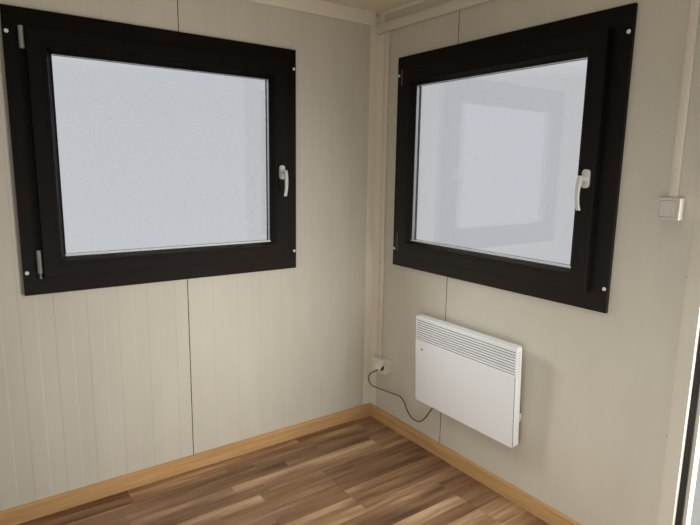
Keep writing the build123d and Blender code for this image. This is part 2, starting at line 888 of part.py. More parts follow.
with BuildPart() as heater_cord:
    with BuildLine() as cord_line:
        FilletPolyline(*places, radius=radii)
    with BuildSketch(Plane(places[0], z_dir=places[1] - places[0])) as cord_section:
        RegularPolygon(cord_size / 2, cord_sides)
    sweep(path=cord_line.line)
cord_length = sum(edge.length for edge in cord_line.edges())
print("cord length", round(cord_length), "volume over section times length",
      round(heater_cord.part.volume / (cord_section.sketch.area * cord_length), 4))
save(heater_cord, "heater_cord")
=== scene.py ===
import math
import random

import bpy
from mathutils import Matrix, Vector


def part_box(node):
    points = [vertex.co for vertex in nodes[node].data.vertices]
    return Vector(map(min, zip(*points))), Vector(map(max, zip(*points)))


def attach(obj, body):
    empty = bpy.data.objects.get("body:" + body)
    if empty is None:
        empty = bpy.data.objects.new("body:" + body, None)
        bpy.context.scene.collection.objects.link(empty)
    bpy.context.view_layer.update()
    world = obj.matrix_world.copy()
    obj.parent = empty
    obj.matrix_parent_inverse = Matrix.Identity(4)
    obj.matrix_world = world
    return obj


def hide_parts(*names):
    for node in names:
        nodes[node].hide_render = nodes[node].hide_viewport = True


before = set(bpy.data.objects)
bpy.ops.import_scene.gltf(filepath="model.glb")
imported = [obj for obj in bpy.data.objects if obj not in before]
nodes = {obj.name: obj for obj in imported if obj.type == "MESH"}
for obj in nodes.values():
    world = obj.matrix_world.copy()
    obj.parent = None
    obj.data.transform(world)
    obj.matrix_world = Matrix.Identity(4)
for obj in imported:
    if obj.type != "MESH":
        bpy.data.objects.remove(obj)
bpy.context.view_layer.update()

# Camera: stands just outside the open side at eye height and looks into the corner of the room.
# Places in this file are measured from the corner where the floor meets both walls.
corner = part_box("floor_laminate")[1]
eye = corner + Vector((-1.9575, -2.4942, 1.4872))
yaw = math.radians(35.66)
pitch = math.radians(-9.743)
roll = math.radians(0.892)
focal_length = 28.17
sensor_width = 36
nearest_seen = 0.05

forward = Vector((math.sin(yaw) * math.cos(pitch), math.cos(yaw) * math.cos(pitch), math.sin(pitch)))
sideways = Vector((math.cos(yaw), -math.sin(yaw), 0))
upright = sideways.cross(forward)
camera_right = sideways * math.cos(roll) + upright * math.sin(roll)
camera_up = upright * math.cos(roll) - sideways * math.sin(roll)

bpy.ops.object.camera_add()
camera = bpy.context.object
camera.name = "photo_camera"
camera.matrix_world = (Matrix.Translation(eye)
                       @ Matrix((camera_right, camera_up, -forward)).transposed().to_4x4())
camera.data.lens = focal_length
camera.data.sensor_width = sensor_width
camera.data.clip_start = nearest_seen
bpy.context.scene.camera = camera

# Steel frame: folded edge channels, a corner post and hollow corner fittings, welded together and
# painted dark grey, with galvanised channel joists between them. Road dust lies on the lower parts.
dust_height = 0.45
fitting_rounding = 0.002
merge_distance = 0.00001
same_plane_angle = math.radians(0.5)
smooth_angle = math.radians(40)


class Shading:
    """Nodes of a material or of the world. Most methods add a node and return its output."""

    def __init__(self, tree):
        self.tree = tree

    def feed(self, socket, value):
        """Link an output to the socket, or set its value."""
        if isinstance(value, bpy.types.NodeSocket):
            self.tree.links.new(value, socket)
        else:
            socket.default_value = value

    def node(self, kind, inputs=None, **settings):
        """Add a node with its inputs and settings."""
        made = self.tree.nodes.new("ShaderNode" + kind)
        for key, value in settings.items():
            setattr(made, key, value)
        for key, value in (inputs or {}).items():
            self.feed(made.inputs[key], value)
        return made

    def math(self, operation, *values):
        """One sum on numbers."""
        return self.node("Math", dict(enumerate(values)), operation=operation).outputs[0]

    def span(self, value, low, high, to_low=0.0, to_high=1.0):
        """Value between low and high, carried over to lie between to_low and to_high."""
        inputs = {"Value": value, "From Min": low, "From Max": high, "To Min": to_low, "To Max": to_high}
        return self.node("MapRange", inputs).outputs[0]

    def blend(self, amount, first, second):
        """Colour between two others."""
        return self.node("Mix", {0: amount, 6: first, 7: second}, data_type="RGBA").outputs[2]


class Finish(Shading):
    """A material, with its shader's settings as keywords."""

    def __init__(self, name, **shader):
        self.material = bpy.data.materials.new(name)
        self.material.use_nodes = True
        super().__init__(self.material.node_tree)
        self.shader = self.tree.nodes["Principled BSDF"]
        self.place = self.node("TexCoord").outputs["Object"]
        for key, value in shader.items():
            self.feed(self.shader.inputs[key.replace("_", " ").title().replace("Ior", "IOR")], value)

    def axis(self, name):
        """X, Y or Z of the place on the piece."""
        return self.node("SeparateXYZ", {0: self.place}).outputs[name]

    def scaled(self, stretch):
        """The place, stretched by a share on each axis."""
        return self.node("Mapping", {"Vector": self.place, "Scale": stretch}).outputs[0]

    def noise(self, scale, stretch=(1, 1, 1), detail=3.0, place=None):
        """Soft noise from 0 to 1; scale is counts a metre."""
        where = place or self.scaled(stretch)
        return self.node("TexNoise", {"Vector": where, "Scale": scale, "Detail": detail}).outputs["Fac"]

    def colour(self, value):
        """Give the shader its colour."""
        self.feed(self.shader.inputs["Base Color"], value)

    def rough(self, value):
        """Give the shader its roughness."""
        self.feed(self.shader.inputs["Roughness"], value)

    def bump(self, height, depth, normal=None):
        """Raise the surface by height times depth in metres, over a normal of its own if one is given."""
        inputs = {"Height": height, "Distance": depth, "Strength": 1.0}
        if normal:
            inputs["Normal"] = normal
        self.feed(self.shader.inputs["Normal"], self.node("Bump", inputs).outputs[0])


def tint(red, green, blue):
    """Linear colour from the 0 to 255 values that a screen shows."""
    shares = [value / 255 for value in (red, green, blue)]
    return (*(((share + 0.055) / 1.055) ** 2.4 for share in shares), 1.0)


def dress(piece, finish, slot=None):
    """Give a piece its material; a new piece, which is given a slot, also rides on the cabin."""
    piece.data.materials.clear()
    piece.data.materials.append(finish.material)
    if slot:
        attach(piece, "root")


def rounded(piece, radius, fold=30, segments=2):
    """Round the edges of the active piece that fold by more than some degrees, and shade it smooth."""
    rounding = piece.modifiers.new("rounding", "BEVEL")
    rounding.width = radius
    rounding.segments = segments
    rounding.limit_method = "ANGLE"
    rounding.angle_limit = math.radians(fold)
    bpy.ops.object.modifier_apply(modifier="rounding")
    bpy.ops.object.shade_smooth_by_angle(angle=smooth_angle)


def softened(node, radius, finish, slot, fold=35):
    """Stand-in for a CAD node: a copy with its triangles merged and its folds rounded."""
    piece = nodes[node].copy()
    piece.data = nodes[node].data.copy()
    piece.name = node + "_soft"
    bpy.context.scene.collection.objects.link(piece)
    bpy.ops.object.select_all(action="DESELECT")
    piece.select_set(True)
    bpy.context.view_layer.objects.active = piece
    bpy.ops.mesh.customdata_custom_splitnormals_clear()
    bpy.ops.object.mode_set(mode="EDIT")
    bpy.ops.mesh.select_all(action="SELECT")
    bpy.ops.mesh.remove_doubles(threshold=merge_distance)
    bpy.ops.mesh.dissolve_limited(angle_limit=same_plane_angle)
    bpy.ops.mesh.normals_make_consistent(inside=False)
    bpy.ops.object.mode_set(mode="OBJECT")
    rounded(piece, radius, fold)
    flats = piece.modifiers.new("flats", "WEIGHTED_NORMAL")
    flats.keep_sharp = True
    bpy.ops.object.modifier_apply(modifier="flats")
    dress(piece, finish, slot)
    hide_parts(node)
    return piece


frame_finish = Finish("dark_grey_paint", roughness=0.42)
dust_and_glint = frame_finish.math("MULTIPLY", frame_finish.span(frame_finish.axis("Z"), dust_height, 0),
                         frame_finish.noise(14, detail=6))
frame_finish.colour(frame_finish.blend(dust_and_glint, tint(52, 56, 60), tint(108, 101, 90)))
frame_finish.rough(frame_finish.span(dust_and_glint, 0, 0.6, 0.38, 0.8))
frame_finish.bump(frame_finish.noise(600, detail=2), 0.0001)
for name in ("floor_beam_left", "floor_beam_right", "roof_beam_left", "roof_beam_right", "corner_post"):
    dress(nodes[name], frame_finish)
for name in ("corner_block_bottom", "corner_block_top"):
    softened(name, fitting_rounding, frame_finish, "steel_frame")

zinc = Finish("zinc_coating", metallic=0.3, roughness=0.42)
cells = zinc.node("TexVoronoi", {"Vector": zinc.place, "Scale": 140}).outputs["Color"]
spangle = zinc.node("SeparateXYZ", {0: cells}).outputs[0]
zinc.colour(zinc.blend(spangle, tint(150, 156, 158), tint(186, 190, 190)))
zinc.rough(zinc.span(spangle, 0, 1, 0.34, 0.55))
for name in ("floor_joists", "roof_joists"):
    dress(nodes[name], zinc)

# Weld beads: each edge channel is welded to the flank of its corner fitting, up the whole web. A bead
# is a ripple of overlapping drops about 5 mm wide.
bead_size = 0.005
bead_pitch = 0.0035


def bead(name, start, end):
    """Row of small drops from start to end, as one mesh."""
    count = round((end - start).length / bead_pitch)
    bpy.ops.object.select_all(action="DESELECT")
    bpy.ops.mesh.primitive_ico_sphere_add(subdivisions=1, radius=bead_size / 2, location=start)
    drop = bpy.context.object
    drop.name = name
    row = drop.modifiers.new("row", "ARRAY")
    row.use_relative_offset = False
    row.use_constant_offset = True
    row.constant_offset_displace = (end - start) / (count - 1)
    row.count = count
    bpy.ops.object.modifier_apply(modifier="row")
    bpy.ops.object.transform_apply(location=True, rotation=False, scale=False)
    bpy.ops.object.shade_smooth()
    dress(drop, frame_finish, "steel_frame")


for level in ("floor", "roof"):
    for side in ("left", "right"):
        low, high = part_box(f"{level}_beam_{side}")
        if side == "left":
            foot = Vector((high.x, high.y - bead_size / 2, low.z + bead_size))
        else:
            foot = Vector((high.x - bead_size / 2, high.y, low.z + bead_size))
        bead(f"{level}_weld_{side}", foot, Vector((foot.x, foot.y, high.z - bead_size)))

# Roof: a ribbed zinc-coated steel sheet over the roof joists. Three rows of hexagon screws hold it,
# one in every trough, each with a washer under its head.
roof_ribs = 11
roof_rib_height = 0.035
edge_to_screws = 0.06
far_edge_to_screws = 0.18
washer_size = 0.016
washer_thickness = 0.002
hexagon_size = 0.009
hexagon_height = 0.005
head_rounding_share = 0.45


def mottled(name, scale, darker, lighter, detail=3.0, **shader):
    """Finish with soft spots between two near tints; scale is counts a metre."""
    made = Finish(name, **shader)
    made.colour(made.blend(made.noise(scale, detail=detail), tint(*darker), tint(*lighter)))
    return made


def disc(name, place, facing, size, thickness, finish, slot, sides=24):
    """Head of a size and thickness that stands on a place and faces a direction."""
    bpy.ops.object.select_all(action="DESELECT")
    turn = Vector(facing).to_track_quat("Z", "Y")
    bpy.ops.mesh.primitive_cylinder_add(vertices=sides, radius=size / 2, depth=thickness,
                                        location=place + Vector(facing) * thickness / 2,
                                        rotation=turn.to_euler())
    head = bpy.context.object
    head.name = name
    bpy.ops.object.transform_apply(location=True, rotation=True, scale=True)
    rounded(head, thickness * head_rounding_share, segments=3)
    dress(head, finish, slot)
    return head


def joined(name, parts):
    """Join several new meshes into one piece."""
    bpy.ops.object.select_all(action="DESELECT")
    for part in parts:
        part.select_set(True)
    bpy.context.view_layer.objects.active = parts[0]
    bpy.ops.object.join()
    parts[0].name = name


dress(nodes["roof_sheeting"], zinc)
screw_zinc = mottled("zinc_screw", 900, (176, 176, 172), (202, 202, 198), metallic=0.9, roughness=0.35)
roof_low, roof_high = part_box("roof_sheeting")
rib_pitch = (roof_high.x - roof_low.x) / roof_ribs
roof_screws = []
for row in (roof_low.y + edge_to_screws, (roof_low.y + roof_high.y) / 2, roof_high.y - far_edge_to_screws):
    for rib in range(1, roof_ribs):
        foot = Vector((roof_low.x + rib * rib_pitch, row, roof_high.z - roof_rib_height))
        top = foot + Vector((0, 0, washer_thickness))
        roof_screws.append(disc("washer", foot, (0, 0, 1), washer_size, washer_thickness,
                                screw_zinc, "roof_steel", 16))
        roof_screws.append(disc("head", top, (0, 0, 1), hexagon_size, hexagon_height,
                                screw_zinc, "roof_steel", 6))
joined("roof_screws", roof_screws)

# Floor: chipboard deck sheets with laminate boards on top. Each 193 by 1290 mm board is printed as
# three strips of smoked oak with staggered ends, laid along the left wall.
deck = Finish("chipboard", roughness=0.85)
chips = deck.node("TexVoronoi", {"Vector": deck.scaled((1, 1, 2)), "Scale": 190}).outputs["Color"]
chip_tone = deck.node("SeparateXYZ", {0: chips}).outputs[0]
deck.colour(deck.blend(chip_tone, tint(150, 121, 84), tint(205, 176, 134)))
deck.bump(chip_tone, 0.0004)
dress(nodes["floor_deck"], deck)

board_width = 0.193
board_length = 1.290
board_gap = 0.0003
strips_a_board = 3
shortest_strip = 0.30
longest_strip = 0.95
shortest_offcut = shortest_strip / 4
least_stagger = 0.1
most_stagger = 0.9
plain_tone = 0.5
random.seed(7)
floor_low, floor_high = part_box("floor_laminate")


def board_faces(start, stop, near, far):
    """Corners, faces and tones of one board: its printed strips on top, four sides and the underside."""
    corners, faces, tones = [], [], []
    base, top = floor_low.z, floor_high.z

    def face(tone, *places):
        """Add a face with corners and a tone of its own."""
        faces.append(tuple(range(len(corners), len(corners) + len(places))))
        corners.extend(places)
        tones.append(tone)

    strip = (far - near) / strips_a_board
    for index in range(strips_a_board):
        x = start
        low, high = near + index * strip, near + (index + 1) * strip
        while x < stop:
            end = x + random.uniform(shortest_strip, longest_strip)
            end = stop if stop - end < shortest_strip else end
            face(random.random(), (x, low, top), (end, low, top), (end, high, top), (x, high, top))
            x = end
    face(plain_tone, (start, near, base), (stop, near, base), (stop, near, top), (start, near, top))
    face(plain_tone, (stop, far, base), (start, far, base), (start, far, top), (stop, far, top))
    face(plain_tone, (stop, near, base), (stop, far, base), (stop, far, top), (stop, near, top))
    face(plain_tone, (start, far, base), (start, near, base), (start, near, top), (start, far, top))
    face(plain_tone, (start, far, base), (stop, far, base), (stop, near, base), (start, near, base))
    return corners, faces, tones


all_corners, all_faces, all_tones = [], [], []
row_top = floor_high.y
while row_top > floor_low.y + board_gap:
    row_base = max(row_top - board_width, floor_low.y)
    board_start = floor_low.x - random.uniform(least_stagger, most_stagger) * board_length
    while board_start < floor_high.x - board_gap:
        board_end = min(board_start + board_length, floor_high.x)
        shown_start = max(board_start, floor_low.x)
        if board_end - shown_start > shortest_offcut:
            corners, faces, tones = board_faces(shown_start, board_end - board_gap,
                                                row_base + board_gap, row_top)
            all_faces += [tuple(index + len(all_corners) for index in face) for face in faces]
            all_corners += corners
            all_tones += tones
        board_start = board_end
    row_top = row_base

board_mesh = bpy.data.meshes.new("laminate_boards")
board_mesh.from_pydata(all_corners, [], all_faces)
board_mesh.attributes.new("tone", "FLOAT", "FACE").data.foreach_set("value", all_tones)
boards = bpy.data.objects.new("laminate_boards", board_mesh)
bpy.context.scene.collection.objects.link(boards)

oak = Finish("smoked_oak_laminate", roughness=0.42)
tone = oak.node("Attribute", attribute_name="tone").outputs["Fac"]
shift = oak.node("CombineXYZ", {0: oak.math("MULTIPLY", tone, 31), 1: tone, 2: 0}).outputs[0]
along = oak.node("VectorMath", {0: oak.place, 1: shift}, operation="ADD").outputs[0]


def oak_noise(stretch, detail):
    """Noise drawn out along the boards, different in each printed strip."""
    place = oak.node("Mapping", {"Vector": along, "Scale": stretch}).outputs[0]
    return oak.noise(1.0, detail=detail, place=place)


flame = oak_noise((2.0, 17, 1), 5)
streak = oak_noise((2.6, 62, 1), 4)
grain = oak_noise((9, 260, 1), 3)
print_tone = oak.math("MULTIPLY", tone, 0.30)
for layer, share in ((flame, 1.05), (streak, 0.27), (grain, 0.16)):
    print_tone = oak.math("ADD", print_tone, oak.math("MULTIPLY", layer, share))
print_ink = oak.node("ValToRGB", {0: oak.span(print_tone, 0.55, 1.35)})
print_ink.color_ramp.elements[0].color = tint(84, 58, 40)
print_ink.color_ramp.elements[1].color = tint(230, 198, 160)
print_ink.color_ramp.elements.new(0.5).color = tint(158, 121, 88)
oak.colour(print_ink.outputs[0])
oak.rough(oak.span(grain, 0.3, 0.7, 0.36, 0.5))
oak.bump(grain, 0.00005)
dress(boards, oak, "laminate")
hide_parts("floor_laminate")

# Walls: sandwich panels of two thin painted steel skins with shallow pressed bands on a yellow foam
# core. The room's side is warm white, the outside light grey, and the foam shows at the cut ends.
wall_thickness = 0.060
skin = 0.0006
band_reach = 0.0016
band_fold = 5
panel_rounding = 0.0012
cut_end = 0.99
slope_limit = 0.96


def panel_finish(name, face, axis, along_axis, calm):
    """Material of one wall's panels; face is where its inner skin lies on the axis, and calm the
    share by which the flats are turned square to the wall."""
    made = Finish(name, roughness=0.48)
    depth = made.math("SUBTRACT", made.axis(axis), face)
    facing = made.node("TexCoord").outputs["Normal"]
    normal = made.node("SeparateXYZ", {0: facing}).outputs
    endwise = made.math("MAXIMUM", made.math("ABSOLUTE", normal[along_axis]),
                        made.math("ABSOLUTE", normal["Z"]))
    within = made.math("MULTIPLY", made.math("GREATER_THAN", depth, band_reach + skin),
                       made.math("LESS_THAN", depth, wall_thickness - band_reach - skin))
    core = made.math("MULTIPLY", made.math("GREATER_THAN", endwise, cut_end), within)
    wear = made.noise(5, (1, 1, 0.35), detail=5)
    room_side = made.blend(made.span(wear, 0.3, 0.7), tint(206, 198, 182), tint(213, 205, 189))
    outer_side = made.blend(made.span(wear, 0.3, 0.7), tint(200, 203, 203), tint(212, 214, 214))
    paint = made.blend(made.math("GREATER_THAN", depth, wall_thickness / 2), room_side, outer_side)
    foam = made.blend(made.noise(900, detail=4), tint(196, 170, 102), tint(226, 205, 140))
    made.colour(made.blend(core, paint, foam))
    made.rough(made.math("MAXIMUM", core, made.span(wear, 0.3, 0.7, 0.42, 0.52)))
    peel = made.math("MULTIPLY", made.noise(1400, detail=2), 0.06)
    height = made.math("ADD", peel, made.math("MULTIPLY", core, made.noise(700, detail=5)))
    square = made.node("CombineXYZ", {axis: made.math("SIGN", normal[axis])}).outputs[0]
    flat = made.math("GREATER_THAN", made.math("ABSOLUTE", normal[axis]), slope_limit)
    calmed = made.node("Mix", {0: made.math("MULTIPLY", calm, flat), 4: facing, 5: square},
                       data_type="VECTOR").outputs[1]
    made.bump(height, 0.0006, made.node("VectorMath", {0: calmed}, operation="NORMALIZE").outputs[0])
    return made


left_finish = panel_finish("left_wall_paint", corner.y, "Y", "X", 0.1)
right_finish = panel_finish("right_wall_paint", corner.x, "X", "Y", 0.8)
for place in ("corner", "outer"):
    softened(f"left_panel_{place}", panel_rounding, left_finish, "wall_panel", band_fold)
    softened(f"right_panel_{place}", panel_rounding, right_finish, "wall_panel", band_fold)

# Seam lines: a thin dark strip lies in the groove between two panels, behind their chamfers, below
# and above each window. It is painted shade that makes the joint read as a dark line.
seam_strip_width = 0.003
seam_strip_top = 0.0004
seam_strip_base = 0.0010
seam_strip_rounding = 0.0001
# Painted shade: the strip is coloured near-black for the shade in the groove.
seam_shade_finish = mottled("seam_shade", 400, (26, 23, 20), (40, 36, 32), roughness=0.9)


def slab(name, low, high, radius, finish, slot):
    """Box between two corners with rounded edges."""
    bpy.ops.object.select_all(action="DESELECT")
    bpy.ops.mesh.primitive_cube_add(size=1, location=(low + high) / 2)
    piece = bpy.context.object
    piece.name = name
    piece.scale = high - low
    bpy.ops.object.transform_apply(location=True, rotation=True, scale=True)
    rounded(piece, radius)
    dress(piece, finish, slot)
    return piece


panel_low, panel_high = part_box("left_panel_corner")
seam_x = panel_low.x
seam_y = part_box("right_panel_corner")[0].y
window_low, window_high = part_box("left_window_frame")
for part, low_z, high_z in (("lower", panel_low.z, window_low.z), ("upper", window_high.z, panel_high.z)):
    slab(f"left_seam_tape_{part}", Vector((seam_x - seam_strip_width / 2, corner.y + seam_strip_top, low_z)),
         Vector((seam_x + seam_strip_width / 2, corner.y + seam_strip_base, high_z)),
         seam_strip_rounding, seam_shade_finish, "rubber")
    slab(f"right_seam_tape_{part}", Vector((corner.x + seam_strip_top, seam_y - seam_strip_width / 2, low_z)),
         Vector((corner.x + seam_strip_base, seam_y + seam_strip_width / 2, high_z)),
         seam_strip_rounding, seam_shade_finish, "rubber")

# Door post: a folded cream steel profile with a slanted lip over the last panel, four small screws
# on its face, and a black rubber seal in the rebate where the door would close.
post_rounding = 0.0012
seal_rounding = 0.002
post_screw_along = 1.6912
post_screw_heights = (0.582, 1.148, 1.714, 2.28)
post_screw_size = 0.009
post_screw_height = 0.0019
post_face_setback = 0.002


def on_right(x, y, z):
    """Place on the right wall: x along it from the corner, y up, z into the room."""
    return Vector((corner.x - z, corner.y - x, corner.z + y))


post_finish = Finish("door_post_paint", roughness=0.4)
post_wear = post_finish.span(post_finish.noise(7, (1, 1, 0.3), detail=5), 0.3, 0.7)
post_finish.colour(post_finish.blend(post_wear, tint(214, 205, 187), tint(224, 216, 199)))
post_finish.bump(post_finish.noise(1400, detail=2), 0.00003)
softened("door_post", post_rounding, post_finish, "trim")

rubber = mottled("black_rubber", 300, (30, 29, 28), (46, 44, 42), roughness=0.7)
softened("door_seal", seal_rounding, rubber, "rubber")

screw_paint = mottled("screw_paint", 300, (190, 180, 161), (200, 190, 171), roughness=0.4)
post_face = corner.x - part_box("door_post")[0].x - post_face_setback
joined("door_post_screws", [disc("post_screw", on_right(post_screw_along, height, post_face), (-1, 0, 0),
                                 post_screw_size, post_screw_height, screw_paint, "trim")
                            for height in post_screw_heights])

# Windows: white plastic profiles wrapped in dark brown foil, whose grain runs along each member and
# meets in mitred corners. The foil is painted lighter and glossier towards the bottom, as painted
# light. Each sash holds two panes with a bright spacer, a clip-in bead and black gaskets, and hangs on
# two grey hinges. A near-white painted reflection runs along the foot of each pane, on the bead and
# the lowest gasket.
mitre_width = 0.0005
glint_line = 0.0034
glint_width = 0.0030
foil_grain_along = 14
foil_grain_across = 900
spacer_ribs = 250
drop_size = 0.24


def foil_finish(name, axis, frame_box, glass_box):
    """Grained foil of one window whose wall runs along the axis; each box is its low and high corner."""
    made = Finish(name)
    which = "XY".index(axis)
    (low, high), (glass_low, glass_high) = frame_box, glass_box
    middle = (low + high) / 2
    half_width, half_height = (high[which] - low[which]) / 2, (high.z - low.z) / 2
    half_glass = (glass_high[which] - glass_low[which]) / 2
    across = made.math("SUBTRACT", made.axis(axis), middle[which])
    height = made.math("SUBTRACT", made.axis("Z"), middle.z)
    from_side = made.math("SUBTRACT", half_width, made.math("ABSOLUTE", across))
    from_end = made.math("SUBTRACT", half_height, made.math("ABSOLUTE", height))
    upright = made.math("LESS_THAN", from_side, from_end)
    level = made.math("SUBTRACT", 1.0, upright)
    along = made.math("ADD", made.math("MULTIPLY", upright, height), made.math("MULTIPLY", level, across))
    beside = made.math("ADD", made.math("MULTIPLY", upright, across), made.math("MULTIPLY", level, height))
    depth = made.axis("Y" if axis == "X" else "X")
    grain_place = made.node("CombineXYZ", {0: made.math("MULTIPLY", along, foil_grain_along),
                                           1: made.math("MULTIPLY", beside, foil_grain_across),
                                           2: made.math("MULTIPLY", depth, foil_grain_across)})
    grain = made.noise(1.0, detail=4, place=grain_place.outputs[0])
    gap = made.math("LESS_THAN", made.math("ABSOLUTE", made.math("SUBTRACT", from_side, from_end)),
                    mitre_width)
    fibre = made.span(grain, 0.35, 0.7)
    # Painted light: the foil is coloured darker at the top and lighter towards the bottom, where more
    # light falls, and its sheen is raised towards the bottom too.
    shaded_top_foil = made.blend(fibre, tint(9, 7, 6), tint(17, 14, 12))
    painted_bright = made.blend(fibre, tint(24, 19, 16), tint(40, 33, 28))
    lower = made.span(height, half_height, -half_height)
    made.feed(made.shader.inputs["Specular IOR Level"], made.span(lower, 0, 1, 0.12, 0.4))
    body = made.blend(lower, shaded_top_foil, painted_bright)
    # Painted reflection: a near-white line on the bead along the foot of the pane, for the bright outside
    # mirrored there.
    foot = made.math("ABSOLUTE", made.math("SUBTRACT", made.axis("Z"), glass_low.z - glint_width / 2))
    dust_and_glint = made.math("MULTIPLY", made.math("LESS_THAN", foot, glint_width / 2),
                     made.math("LESS_THAN", made.math("ABSOLUTE", across), half_glass))
    made.colour(made.blend(dust_and_glint, made.blend(gap, body, tint(8, 7, 6)), tint(236, 237, 240)))
    made.rough(made.span(grain, 0.3, 0.7, 0.36, 0.5))
    made.bump(made.math("SUBTRACT", grain, gap), 0.00012)
    return made


def gasket_finish(name, glass_low):
    """Black rubber, with a near-white painted reflection on the part that lies lowest."""
    made = Finish(name, roughness=0.4)
    # Painted reflection: the gasket's lowest part is coloured near-white.
    painted_bright = made.math("LESS_THAN", made.axis("Z"), glass_low.z + glint_line)
    made.colour(made.blend(painted_bright, tint(24, 23, 22), tint(240, 241, 243)))
    made.bump(made.noise(500, detail=2), 0.00002)
    return made


def glass_finish(name, spots):
    """Clear float glass; spots is the share of it that carries dried rain drops."""
    made = Finish(name, transmission_weight=1.0, roughness=0.0, ior=1.5)
    cells = made.node("TexVoronoi", {"Vector": made.place, "Scale": 110}).outputs
    chosen = made.math("LESS_THAN", made.node("SeparateXYZ", {0: cells["Color"]}).outputs[0],
                       made.math("MULTIPLY", made.noise(2.5, detail=2), spots))
    drop = made.math("MULTIPLY", chosen, made.math("LESS_THAN", cells["Distance"], drop_size))
    made.colour(made.blend(drop, tint(250, 250, 250), tint(232, 234, 236)))
    made.feed(made.shader.inputs["Transmission Weight"], made.span(drop, 0, 1, 1.0, 0.9))
    made.rough(made.math("MULTIPLY", drop, 0.3))
    return made


spacer_metal = Finish("spacer_metal", metallic=0.9, roughness=0.45)
round_pane = spacer_metal.math("ADD", spacer_metal.axis("X"), spacer_metal.axis("Y"))
round_pane = spacer_metal.math("ADD", round_pane, spacer_metal.axis("Z"))
ribs = spacer_metal.math("FRACT", spacer_metal.math("MULTIPLY", round_pane, spacer_ribs))
spacer_metal.colour(spacer_metal.blend(ribs, tint(222, 224, 226), tint(240, 241, 242)))

satin = mottled("satin_handle", 60, (226, 224, 218), (234, 232, 227), metallic=0.3, roughness=0.3)
hinge_grey = mottled("hinge_cover", 60, (146, 145, 138), (158, 157, 150), roughness=0.38)
white = mottled("white_plastic", 30, (226, 222, 216), (232, 229, 224), roughness=0.36,
                subsurface_weight=0.05)

for side, axis, spots in (("left", "X", 0.16), ("right", "Y", 0.03)):
    window = side + "_window"
    glass_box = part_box(window + "_glass_seal")
    foil = foil_finish(window + "_foil", axis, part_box(window + "_frame"), glass_box)
    gasket = gasket_finish(window + "_gasket", glass_box[0])
    dress(nodes[window + "_spacer"], spacer_metal)
    dress(nodes[window + "_panes"], glass_finish(side + "_glass", spots))
    for part, radius, finish, slot in (
            ("frame", 0.0015, foil, "window_profile"),
            ("sash", 0.0015, foil, "window_profile"),
            ("beads", 0.001, foil, "window_profile"),
            ("glass_seal", 0.0003, gasket, "rubber"),
            ("handle", 0.0012, satin, "hardware"),
            ("handle_plate", 0.0006, satin, "hardware"),
            ("hinges", 0.001, hinge_grey, "hardware"),
            ("screw_caps", 0.0012, white, "white_plastic")):
        softened(f"{window}_{part}", radius, finish, slot)

# Ceiling: one smooth board with a matt warm white face, fixed under the roof joists. The trims
# below hide its edges.
ceiling_finish = mottled("ceiling_board", 3, (234, 221, 195), (240, 228, 203), detail=4, roughness=0.6)
dress(nodes["ceiling"], ceiling_finish)

# Trims inside the room: a flat plastic-coated angle in the corner, a coved strip over the left
# wall, a thin strip over the right wall, and oak-foil skirting with rounded tops.
trim_rounding = 0.0006
skirting_rounding = 0.001
trim_finish = mottled("trim_coating", 4, (232, 222, 203), (239, 230, 212), detail=4, roughness=0.4)
for name in ("corner_angle", "cornice_left", "cornice_right"):
    softened(name, trim_rounding, trim_finish, "trim")


def skirting_finish(name, stretch):
    """Oak foil whose grain runs along the skirting."""
    made = Finish(name, roughness=0.38)
    flame = made.noise(1.0, stretch, detail=5)
    fibre = made.noise(6.0, stretch, detail=3)
    tone = made.math("ADD", made.math("MULTIPLY", flame, 0.7), made.math("MULTIPLY", fibre, 0.3))
    made.colour(made.blend(made.span(tone, 0.3, 0.7), tint(180, 136, 87), tint(214, 172, 120)))
    made.bump(fibre, 0.00005)
    return made


for side, stretch in (("left", (3, 60, 60)), ("right", (60, 3, 60))):
    softened("skirting_" + side, skirting_rounding, skirting_finish(side + "_skirting_foil", stretch),
             "skirting")

# Cable trunking on the right wall: each run is a channel screwed to the wall with a lid snapped
# over its front, so that a fine line shows along both sides.
lid_share = 0.3
channel_inset = 0.0008
channel_rounding = 0.0004
lid_rounding = 0.0012
duct_finish = mottled("trunking_plastic", 5, (224, 211, 194), (230, 219, 203), roughness=0.42)

for name in ("trunking", "corner_duct", "switch_duct"):
    low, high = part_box(name)
    split = low.x + (high.x - low.x) * lid_share
    inset = Vector((0, channel_inset, 0)) if name != "trunking" else Vector((0, 0, channel_inset))
    channel = slab(name + "_channel", Vector((split, low.y, low.z)) + inset, high - inset,
                   channel_rounding, duct_finish, "trim")
    lid = slab(name + "_lid", low, Vector((split, high.y, high.z)), lid_rounding, duct_finish, "trim")
    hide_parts(name)
    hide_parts(name)

# Socket beside the corner: a surface box with two sprung lids, one shut and one resting on the
# heater's flat angled plug. Light switch by the door: a box with one large rocker.
white_warm = mottled("socket_plastic", 30, (226, 218, 209), (233, 226, 218), roughness=0.35,
                     subsurface_weight=0.05)
grey_plastic = mottled("switch_plastic", 30, (206, 197, 188), (214, 206, 198), roughness=0.36)
for name, radius, finish, slot in (
        ("socket_box", 0.0015, white_warm, "white_plastic"),
        ("socket_lids", 0.0012, white_warm, "white_plastic"),
        ("switch_box", 0.0025, grey_plastic, "grey_plastic"),
        ("switch_rocker", 0.0012, grey_plastic, "grey_plastic")):
    softened(name, radius, finish, slot)

# Convector heater: a folded sheet casing with a louvre, a flat front plate hooked over it, two wall
# brackets and a control box with a knob behind its right end. White powder coat with a fine texture.
# It leans: its top stands farther from the wall than its bottom.
heater_lean = math.radians(2.5)
heater_middle = 0.5275
heater_face = 0.085
heater_end = 1.112
plate_thickness = 0.0025
slot_depth = 0.0139
slot_margin = 0.0058
slot_highest = 0.2165
shade_start = 0.002
heater_low, heater_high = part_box("heater_casing")


